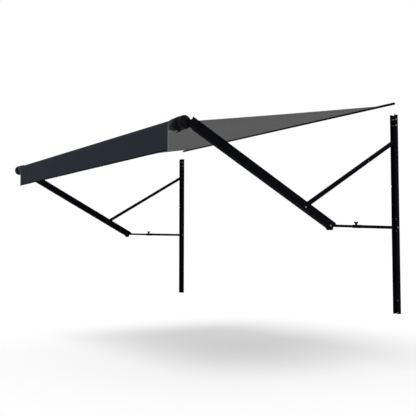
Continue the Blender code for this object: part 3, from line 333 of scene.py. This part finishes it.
def cloth_finish(name, dark, light, thread, stitches, hem):
    """Woven cloth: heathered colour, a plain weave, rows of stitches, a dark hem, and a painted
    highlight on the side edges.

    hem is None, or the height of the dark hem's top and the half width where the painted edge
    highlight starts.
    """
    made = Finish(name, CLOTH_ROUGHNESS, 0.0, CLOTH_SPECULAR)
    parts = made.add("ShaderNodeSeparateXYZ", {0: made.place}).outputs
    across = parts["X"]
    along = made.maths("ADD", parts["Y"], parts["Z"])
    turns = 2 * pi / THREAD_PITCH
    warp = made.maths("SINE", made.maths("MULTIPLY", across, turns))
    weft = made.maths("SINE", made.maths("MULTIPLY", along, turns))
    weave = made.maths("MULTIPLY", warp, weft)
    heather = made.spread(made.noise(*HEATHER_NOISE, HEATHER_STRETCH), HEATHER_LOW, HEATHER_HIGH)
    clouds = made.spread(made.noise(*CLOUD_NOISE), -CLOUD_DEPTH, CLOUD_DEPTH)
    colour = made.mixed(made.maths("ADD", heather, clouds), dark, light)
    height = made.maths("MULTIPLY", weave, WEAVE_RELIEF)
    for kind, place in stitches:
        line, run = (made.maths("ABSOLUTE", across), along) if kind == "side" else (along, across)
        off = made.maths("ABSOLUTE", made.maths("SUBTRACT", line, place))
        near = made.maths("LESS_THAN", off, STITCH_WIDTH / 2)
        dash = made.maths("SINE", made.maths("MULTIPLY", run, 2 * pi / STITCH_LENGTH))
        shown = made.maths("MULTIPLY", near, made.maths("GREATER_THAN", dash, STITCH_START))
        colour = made.mixed(shown, colour, thread)
        height = made.maths("ADD", height, made.maths("MULTIPLY", shown, STITCH_RELIEF))
    if hem is not None:
        top, edge = hem
        below = made.maths("LESS_THAN", parts["Z"], top)
        colour = made.mixed(below, colour, [channel * HEM_SHADE for channel in dark])
        # painted highlight: past this half width the side edges are coloured pale, as light catching
        # them would show
        in_edge_highlight = made.maths("GREATER_THAN", made.maths("ABSOLUTE", across), edge)
        colour = made.mixed(in_edge_highlight, colour, EDGE_HIGHLIGHT_COLOUR)
    made.feed("Base Color", colour)
    made.bump(height, CLOTH_RELIEF)
    return made.material


def stitch_rows():
    """Where each cloth is stitched: ("side", distance from the middle) or ("level", place)."""
    canvas_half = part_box("canvas")[1].x
    low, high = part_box("valance")
    level = low.z + HEM_HEIGHT + HEM_STITCH_RISE - valance_out()
    return {
        "grey_canvas": [("side", canvas_half - STITCH_INSET),
                        ("side", canvas_half - EDGE_STITCH_INSET)],
        "navy_valance": [("side", high.x - STITCH_INSET), ("level", level)],
    }


def finishes():
    """The record's material slots, as procedural materials."""
    stitches = stitch_rows()
    low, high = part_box("valance")
    # the dark hem's top, and the half width where the painted highlight on the side edges starts
    hems = {"navy_valance": (low.z + HEM_HEIGHT, high.x - EDGE_HIGHLIGHT_WIDTH)}
    looks = {
        name: hard_finish(name, *tones, roughness, **settings)
        for name, (tones, roughness, settings) in HARD_FINISHES.items()
    }
    for name, colours in CLOTH_FINISHES.items():
        looks[name] = cloth_finish(name, *colours, stitches[name], hems.get(name))
    return looks


def new_piece(name, shape, materials, body, nodes):
    """A piece from a bmesh: made, finished, put on its body and set in its CAD nodes' place."""
    data = bpy.data.meshes.new(name)
    shape.to_mesh(data)
    shape.free()
    for material in materials:
        data.materials.append(material)
    piece = bpy.data.objects.new(name, data)
    bpy.context.scene.collection.objects.link(piece)
    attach(piece, body)
    if nodes:
        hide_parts(*nodes)
    return piece


def rounded(shape, angle=SHARP_ANGLE):
    """Smooth shading, with the edges that are meant to be sharp kept sharp."""
    shape.normal_update()
    for face in shape.faces:
        face.smooth = True
    for edge in shape.edges:
        edge.smooth = len(edge.link_faces) == 2 and edge.calc_face_angle(0.0) < radians(angle)


def outwards_and_rounded(shape):
    """The last step of each shape built here: faces turned outwards, then smooth shading."""
    bmesh.ops.recalc_face_normals(shape, faces=shape.faces)
    rounded(shape)


def softened(node, material, body, width):
    """A CAD part again, with its outer edges broken as paint or moulding leaves them."""
    shape = bmesh.new()
    shape.from_mesh(node.data)
    bmesh.ops.remove_doubles(shape, verts=shape.verts, dist=MERGE_DISTANCE)
    bmesh.ops.dissolve_limit(shape, angle_limit=radians(FLAT_ANGLE), verts=shape.verts,
                             edges=shape.edges)
    edges = [
        edge for edge in shape.edges
        if len(edge.link_faces) == 2 and edge.calc_length() > SHORTEST_BROKEN_EDGE
        and edge.calc_face_angle(0.0) > radians(SHARP_ANGLE)
    ]
    bmesh.ops.bevel(shape, geom=edges, offset=width, offset_type="OFFSET", segments=BROKEN_STEPS,
                    profile=0.5, affect="EDGES", clamp_overlap=False)
    for face in shape.faces:
        face.material_index = 0
    rounded(shape, BROKEN_SHARP_ANGLE)
    return new_piece(f"{node.name}_finished", shape, [material], body, [node.name])


def ring(shape, place, along, radius, segments):
    """A ring of points about an axis; along is the axis, as a unit vector."""
    across = along.orthogonal().normalized()
    other = along.cross(across)
    angles = [2 * pi * i / segments for i in range(segments)]
    return [shape.verts.new(place + radius * (cos(a) * across + sin(a) * other)) for a in angles]


def walls(shape, rings):
    """Faces between each ring of points and the next."""
    for first, second in zip(rings, rings[1:]):
        count = len(first)
        for i in range(count):
            j = (i + 1) % count
            shape.faces.new((first[i], first[j], second[j], second[i]))


def turned(shape, profile, place, along, segments=32):
    """A closed turned part: a profile of (distance along, radius) pairs about an axis."""
    rings = [ring(shape, place + along * a, along, r, segments) for a, r in profile]
    walls(shape, rings)
    shape.faces.new(rings[0][::-1])
    shape.faces.new(rings[-1])


def hexagon_head(shape, place, along, corner, height):
    """A hexagon with a chamfered top, from its seat at place towards along."""
    low = ring(shape, place, along, corner, 6)
    high = ring(shape, place + along * (height - CHAMFER), along, corner, 6)
    top = ring(shape, place + along * height, along, corner * cos(pi / 6), HEXAGON_TOP_SEGMENTS)
    shape.faces.new(low[::-1])
    walls(shape, [low, high])
    per_side = HEXAGON_TOP_SEGMENTS // 6
    half = per_side // 2
    for i in range(6):
        j = (i + 1) % 6
        arc = [top[(i * per_side + k) % HEXAGON_TOP_SEGMENTS] for k in range(per_side + 1)]
        for k in range(half):
            shape.faces.new((high[i], arc[k + 1], arc[k]))
        shape.faces.new((high[i], high[j], arc[half]))
        for k in range(half, per_side):
            shape.faces.new((high[j], arc[k + 1], arc[k]))
    shape.faces.new(top)


def bolt(name, kind, side, material, nut_material, body):
    """A flanged hexagon bolt with its lock nut, the head outboard, in its CAD node's place."""
    low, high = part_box(name)
    radius = (high.z - low.z) / 2
    outboard = Vector((side, 0, 0))
    head_end, nut_end = (high, low) if side > 0 else (low, high)
    middle = (low + high) / 2
    head_seat = Vector((head_end.x - side * HEAD_HEIGHT, middle.y, middle.z))
    nut_seat = Vector((nut_end.x + side * HEAD_HEIGHT, middle.y, middle.z))
    shank = SHANK_RADIUS[kind]
    shape = bmesh.new()
    turned(shape, [(0, shank), ((head_seat - nut_seat).length, shank)], nut_seat, outboard,
           SHANK_SEGMENTS)
    flange = [(0, radius * FLANGE_FOOT_SHARE), (FLANGE_BREAK, radius),
              (FLANGE_HEIGHT * FLANGE_WALL_SHARE, radius),
              (FLANGE_HEIGHT, radius * FLANGE_TOP_SHARE)]
    for seat, along, height in ((head_seat, outboard, HEAD_HEIGHT),
                                (nut_seat, -outboard, HEAD_HEIGHT - CHAMFER)):
        turned(shape, flange, seat, along)
        hexagon_head(shape, seat, along, radius * HEAD_SHARE, height)
    crown = radius * HEAD_SHARE * CROWN_SHARE
    collar = [(0, crown), (HEAD_HEIGHT - CHAMFER, crown), (HEAD_HEIGHT, crown * CROWN_TOP_SHARE)]
    turned(shape, collar, nut_seat, -outboard)
    if kind in SPACERS:
        near, far = SPACERS[kind]
        for sign in (-1, 1):
            start = Vector((middle.x + sign * near, middle.y, middle.z))
            turned(shape, [(0, SPACER_RADIUS), (far - near, SPACER_RADIUS)], start,
                   Vector((sign, 0, 0)))
    outwards_and_rounded(shape)
    for face in shape.faces:
        inboard = side * (nut_seat.x - face.calc_center_median().x)
        face.material_index = int(inboard > -CHAMFER)
    return new_piece(f"{name}_detailed", shape, [material, nut_material], body,
                     [name])


def cross_recess(shape, place, along):
    """Sinks a cross into a screw's head, and gives back the points of the cross's rim."""
    across = along.orthogonal().normalized()
    other = along.cross(across)
    half, arm = SCREW_RECESS_WIDTH / 2, SCREW_RECESS_LENGTH / 2
    outline = []
    for u, v in ((across, other), (other, -across), (-across, -other), (-other, across)):
        outline += [u * arm - v * half, u * arm + v * half, u * half + v * half]
    rim = [shape.verts.new(place + p) for p in outline]
    floor = [
        shape.verts.new(place + p * SCREW_RECESS_FLOOR - along * SCREW_RECESS_DEPTH)
        for p in outline
    ]
    walls(shape, [rim, floor])
    shape.faces.new(floor)
    return rim


def loop_edges(loop):
    """The edges that join a closed row of points."""
    found = []
    for first, second in zip(loop, loop[1:] + loop[:1]):
        found.append(next(e for e in first.link_edges if e.other_vert(first) is second))
    return found


def screw(name, material):
    """A pan-head wall screw with a cross recess, its head out from the wall."""
    low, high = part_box(name)
    radius = (high.x - low.x) / 2
    middle = (low + high) / 2
    outwards = Vector((0, -1, 0))
    thick = SCREW_HEAD_THICKNESS
    seat = Vector((middle.x, low.y + thick, middle.z))
    shank = [(0, SCREW_SHANK_RADIUS), (high.y - seat.y, SCREW_SHANK_RADIUS)]
    shape = bmesh.new()
    turned(shape, shank, seat, -outwards, SCREW_SHANK_SEGMENTS)
    wall, top = SCREW_WALL_SHARE, SCREW_TOP_SHARE
    profile = [(0, radius), (thick * wall, radius)]
    profile += [(thick * (wall + (1 - wall) * sin(a)), radius * (top + (1 - top) * cos(a)))
                for a in map(radians, SCREW_DOME)]
    rings = [ring(shape, seat + outwards * a, outwards, r, SCREW_HEAD_SEGMENTS)
             for a, r in profile]
    walls(shape, rings)
    shape.faces.new(rings[0][::-1])
    rim = cross_recess(shape, seat + outwards * thick, outwards)
    bmesh.ops.bridge_loops(shape, edges=loop_edges(rings[-1]) + loop_edges(rim))
    outwards_and_rounded(shape)
    return new_piece(f"{name}_detailed", shape, [material], "wall_frame", [name])


def rivet(name, place, outwards, material):
    """A low domed head on a channel's outer cheek."""
    profile = [(RIVET_HEIGHT * sin(a), RIVET_RADIUS * cos(a)) for a in map(radians, RIVET_DOME)]
    shape = bmesh.new()
    turned(shape, profile, place, outwards, RIVET_SEGMENTS)
    outwards_and_rounded(shape)
    return new_piece(name, shape, [material], "wall_frame", [])


def rivets(label, side, material):
    """The heads that show along the front of a channel's outer cheek."""
    low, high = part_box(f"{label}_wall_channel")
    bolt_low, bolt_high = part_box(f"{label}_link_pivot_bolt")
    pivot = (bolt_low.z + bolt_high.z) / 2
    cheek = high.x if side > 0 else low.x
    heights = [low.z + rise for rise in LOW_RIVET_HEIGHTS]
    heights += [pivot + rise for rise in LINK_RIVET_RISES]
    for i, height in enumerate(heights, start=1):
        place = Vector((cheek, low.y + RIVET_SETBACK, height))
        rivet(f"{label}_cheek_rivet_{i}", place, Vector((side, 0, 0)), material)


def spring(name, material):
    """The roller's torsion spring, as smooth round wire."""
    low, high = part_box(name)
    radius = (high.z - low.z) / 2 - SPRING_WIRE
    middle = (low + high) / 2
    travel = high.x - low.x - 2 * SPRING_WIRE
    steps = SPRING_TURNS * SPRING_STEPS
    section = [2 * pi * k / SPRING_SIDES for k in range(SPRING_SIDES)]
    shape = bmesh.new()
    rings = []
    for i in range(steps + 1):
        angle = 2 * pi * i / SPRING_STEPS
        radial = Vector((0, cos(angle), sin(angle)))
        place = Vector((low.x + SPRING_WIRE + travel * i / steps, middle.y, middle.z))
        place += radial * radius
        rings.append([
            shape.verts.new(place + SPRING_WIRE * (cos(a) * radial + Vector((sin(a), 0, 0))))
            for a in section
        ])
    walls(shape, rings)
    shape.faces.new(rings[0][::-1])
    shape.faces.new(rings[-1])
    outwards_and_rounded(shape)
    return new_piece(f"{name}_wire", shape, [material], "roller", [name])


def span(start, end, count):
    """Even steps from start to end, both included."""
    return [start + (end - start) * i / count for i in range(count + 1)]


def around(centre, radius, angle):
    """A point of a circle in the (out, up) plane."""
    return (centre[0] + radius * cos(angle), centre[1] + radius * sin(angle))


def side_point(out, up):
    """World point, at x = 0, from the distance out from the wall and the height."""
    return Vector((0, -out, up))


def normals(path):
    """Unit normals of a path of (out, up) points, to the left of its run."""
    found = []
    for i in range(len(path)):
        before, after = path[max(i - 1, 0)], path[min(i + 1, len(path) - 1)]
        run = Vector((after[0] - before[0], after[1] - before[1])).normalized()
        found.append(Vector((-run.y, run.x)))
    return found


def cloth_columns(half):
    """Positions across a cloth: close together in the side hems, even between them."""
    inner = half - SIDE_HEM
    middle = half - SIDE_HEM * 0.5
    return [-half, -middle, -inner - SIDE_HEM_STEP, *span(-inner, inner, CLOTH_COLUMNS),
            inner + SIDE_HEM_STEP, middle, half]


def cloth_thickness(x, half):
    """A cloth's thickness at x, with its folded side hems."""
    in_hem = abs(x) > half - SIDE_HEM - SIDE_HEM_STEP / 2
    return CLOTH_THICKNESS + (SIDE_HEM_EXTRA if in_hem else 0.0)


def cloth_solid(path, across, thickness, lift):
    """A sheet with two faces. Its outer face takes material 0 and its inner face material 1."""
    shape = bmesh.new()
    layers = []
    facing = normals(path)
    for sign in (1, -1):
        rows = []
        for i, (out, up) in enumerate(path):
            row = []
            for x in across:
                shift = lift(i, x) + sign * thickness(i, x) / 2
                place = side_point(out + facing[i].x * shift, up + facing[i].y * shift)
                row.append(shape.verts.new(place + Vector((x, 0, 0))))
            rows.append(row)
        layers.append(rows)
    outer, inner = layers
    for index, rows in enumerate(layers):
        for first, second in zip(rows, rows[1:]):
            for i in range(len(across) - 1):
                face = shape.faces.new((first[i], first[i + 1], second[i + 1], second[i]))
                face.material_index = index
    for i in range(len(across) - 1):
        for row in (0, -1):
            shape.faces.new((outer[row][i], outer[row][i + 1], inner[row][i + 1], inner[row][i]))
    for i in range(len(path) - 1):
        for column in (0, -1):
            shape.faces.new((outer[i][column], outer[i + 1][column], inner[i + 1][column],
                             inner[i][column]))
    outwards_and_rounded(shape)
    return shape


def wave(rows, x):
    """The sum of a cloth's waves at x."""
    return sum(height * sin(x * rate + start) for height, rate, start in rows)


def roller_size():
    """The roller's axis as (out, up), and its radius."""
    low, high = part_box("roller_tube")
    return (-(low.y + high.y) / 2, (low.z + high.z) / 2), (high.z - low.z) / 2


def groove_point(angle):
    """Where a cloth ends in its groove of the roller."""
    axis, radius = roller_size()
    return around(axis, radius - GROOVE_DEPTH * GROOVE_FILL, angle)


def canvas(materials):
    """The canvas: a bead in the rail, a free span with a little sag, and its end in the roller."""
    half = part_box("canvas")[1].x
    rail_low, rail_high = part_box("awning_rail")
    slot_height = (rail_low.z + rail_high.z) / 2 + SLOT_RISE
    front = -rail_low.y
    axis, roller_radius = roller_size()
    groove_angle = pi - CANVAS_GROOVE_ANGLE
    lip = Vector((front + CANVAS_LIP, slot_height))
    mouth = Vector(around(axis, roller_radius + CLOTH_THICKNESS, groove_angle))
    path = [(front - RAIL_WALL - CANVAS_END_SETBACK, slot_height), (front - RAIL_WALL, slot_height)]
    free = len(path)
    path += span(lip, mouth, CANVAS_STEPS)
    path.append(groove_point(groove_angle))

    def thickness(i, x):
        return cloth_thickness(x, half) if i > free else CLOTH_THICKNESS

    def lift(i, x):
        t = min(max((i - free) / CANVAS_STEPS, 0.0), 1.0)
        ripple = CANVAS_RIPPLE * wave(CANVAS_WAVES, x)
        ripple *= sin(CANVAS_RIPPLE_TURN * pi * t + CANVAS_RIPPLE_START)
        return sin(pi * t) * (ripple - CANVAS_SAG)

    shape = cloth_solid(path, cloth_columns(half), thickness, lift)
    bead_middle = side_point(front - RAIL_WALL - CANVAS_BEAD_SETBACK, slot_height)
    turned(shape, [(-half, CANVAS_BEAD_RADIUS), (half, CANVAS_BEAD_RADIUS)], bead_middle,
           Vector((1, 0, 0)), CANVAS_BEAD_SEGMENTS)
    piece = new_piece("canvas_cloth", shape, materials, "wall_frame", ["canvas"])
    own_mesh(piece)


def valance_out():
    """Distance out from the wall of the hanging valance's middle."""
    axis, roller_radius = roller_size()
    return axis[0] + roller_radius + VALANCE_LIFT


def valance(materials):
    """The valance: out of the roller's groove, over its front, and down to a thick hem."""
    low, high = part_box("valance")
    half = high.x
    axis, roller_radius = roller_size()
    middle = roller_radius + VALANCE_LIFT
    groove_angle = pi - VALANCE_GROOVE_ANGLE
    path = [groove_point(groove_angle)]
    path += [around(axis, middle, a) for a in span(groove_angle, 0.0, ARC_STEPS)]
    turn = len(path) - 1
    hang = axis[1] - low.z
    hem_top = hang - HEM_HEIGHT
    drops = [*span(0.0, hem_top - HEM_ABOVE, VALANCE_STEPS)[1:], hem_top,
             *span(hem_top + HEM_BELOW, hang, HEM_STEPS)]
    path += [(axis[0] + middle, axis[1] - d) for d in drops]
    last = len(path) - 1
    hem_start = last - HEM_STEPS

    def thickness(i, x):
        plain = cloth_thickness(x, half)
        if i < hem_start:
            return plain
        share = sin(pi * ((i - hem_start + HEM_CLOSE) / (HEM_STEPS + 2 * HEM_CLOSE)))
        return plain + (HEM_THICKNESS - plain) * sqrt(share)

    def lift(i, x):
        share = max(i - turn, 0) / (last - turn)
        fade = min((half - abs(x)) / WAVE_FADE, 1.0)
        return VALANCE_WAVE * wave(VALANCE_WAVES, x) * fade * share ** WAVE_GROWTH

    shape = cloth_solid(path, cloth_columns(half), thickness, lift)
    piece = new_piece("valance_cloth", shape, materials, "roller", ["valance"])


def dress(frame):
    """Every piece of the awning in its finish."""
    looks = finishes()
    slots = {part["node"]: part["material_slot"] for part in frame["record"]["subparts"]}
    for name, node in frame["nodes"].items():
        for i in range(len(node.material_slots)):
            node.material_slots[i].material = looks[slots[name]]
    for label, side in SIDES:
        for part, body, slot, width in SIDE_PARTS:
            node = frame["nodes"][f"{label}_{part}"]
            softened(node, looks[slot], body.format(label), width)
        for part, kind, body in BOLTS:
            nut = looks["black_steel" if "arm" in body else "fastener_steel"]
            bolt(f"{label}_{part}", kind, side, looks["fastener_steel"], nut, body.format(label))
        for i in range(1, WALL_SCREWS + 1):
            screw(f"{label}_wall_screw_{i}", looks["fastener_steel"])
        rivets(label, side, looks["fastener_steel"])
        spring(f"{label}_torsion_spring", looks["spring_steel"])
    for name, body, slot, width in SINGLE_PARTS:
        softened(frame["nodes"][name], looks[slot], body, width)
    both = [looks["navy_valance"], looks["grey_canvas"]]
    canvas(both)
    valance(both)


def seen_rays(tree):
    """1 for the rays that carry the picture of the background: camera, mirror and clear rays."""
    rays = tree.nodes.new("ShaderNodeLightPath").outputs
    seen = rays["Is Camera Ray"]
    for kind in ("Is Glossy Ray", "Is Transmission Ray"):
        larger = add_node(tree, "ShaderNodeMath", {0: seen, 1: rays[kind]}, operation="MAXIMUM")
        seen = larger.outputs[0]
    return seen


def floor():
    """A wide pale floor that keeps the shadow and looks white to the camera."""
    bpy.ops.mesh.primitive_plane_add(size=FLOOR_SIZE, location=(0, 0, FLOOR_HEIGHT))
    made = bpy.context.object
    made.name = "floor"
    material = bpy.data.materials.new("floor")
    material.use_nodes = True
    tree = material.node_tree
    tree.nodes.clear()
    diffuse = add_node(tree, "ShaderNodeBsdfDiffuse",
                       {"Color": (FLOOR_COLOUR, FLOOR_COLOUR, FLOOR_COLOUR, 1.0)})
    strength = add_node(tree, "ShaderNodeMath", {0: seen_rays(tree), 1: FLOOR_GLOW},
                        operation="MULTIPLY")
    glow = add_node(tree, "ShaderNodeEmission", {"Strength": strength.outputs[0]})
    both = add_node(tree, "ShaderNodeAddShader", {0: diffuse.outputs[0], 1: glow.outputs[0]})
    add_node(tree, "ShaderNodeOutputMaterial", {"Surface": both.outputs[0]})
    made.data.materials.append(material)


def sky():
    """White to the camera and in reflections, and a plain even light on everything."""
    world = bpy.data.worlds.new("studio")
    bpy.context.scene.world = world
    world.use_nodes = True
    tree = world.node_tree
    background = tree.nodes["Background"]
    background.inputs["Color"].default_value = (1.0, 1.0, 1.0, 1.0)
    strength = add_node(tree, "ShaderNodeMapRange",
                        {"Value": seen_rays(tree), "To Min": SKY_LIGHT, "To Max": 1.0})
    tree.links.new(strength.outputs["Result"], background.inputs["Strength"])


def lamp(name, strength, turn):
    data = bpy.data.lights.new(name, "SUN")
    data.energy = strength
    data.angle = radians(SOFT_LIGHT)
    made = bpy.data.objects.new(name, data)
    made.rotation_euler = Euler([radians(a) for a in turn])
    bpy.context.scene.collection.objects.link(made)


def camera():
    data = bpy.data.cameras.new("camera")
    data.lens = CAMERA_LENS
    data.sensor_width = CAMERA_SENSOR
    made = bpy.data.objects.new("camera", data)
    made.location = CAMERA_PLACE
    made.rotation_euler = Euler([radians(a) for a in CAMERA_TURN])
    bpy.context.scene.collection.objects.link(made)
    bpy.context.scene.camera = made


def studio():
    """The floor, the light and the camera, with colours shown as they are."""
    floor()
    sky()
    lamp("key", KEY_LIGHT, KEY_TURN)
    lamp("fill", FILL_LIGHT, FILL_TURN)
    camera()
    bpy.context.scene.view_settings.view_transform = "Standard"


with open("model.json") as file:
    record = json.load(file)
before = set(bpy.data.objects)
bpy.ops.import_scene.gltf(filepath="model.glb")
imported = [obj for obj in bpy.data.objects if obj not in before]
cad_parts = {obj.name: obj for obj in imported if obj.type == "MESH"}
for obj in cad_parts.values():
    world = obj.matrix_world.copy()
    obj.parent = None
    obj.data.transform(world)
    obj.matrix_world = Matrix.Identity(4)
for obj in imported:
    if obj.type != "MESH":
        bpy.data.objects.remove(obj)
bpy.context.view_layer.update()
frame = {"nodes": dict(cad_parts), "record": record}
dress(frame)
studio()
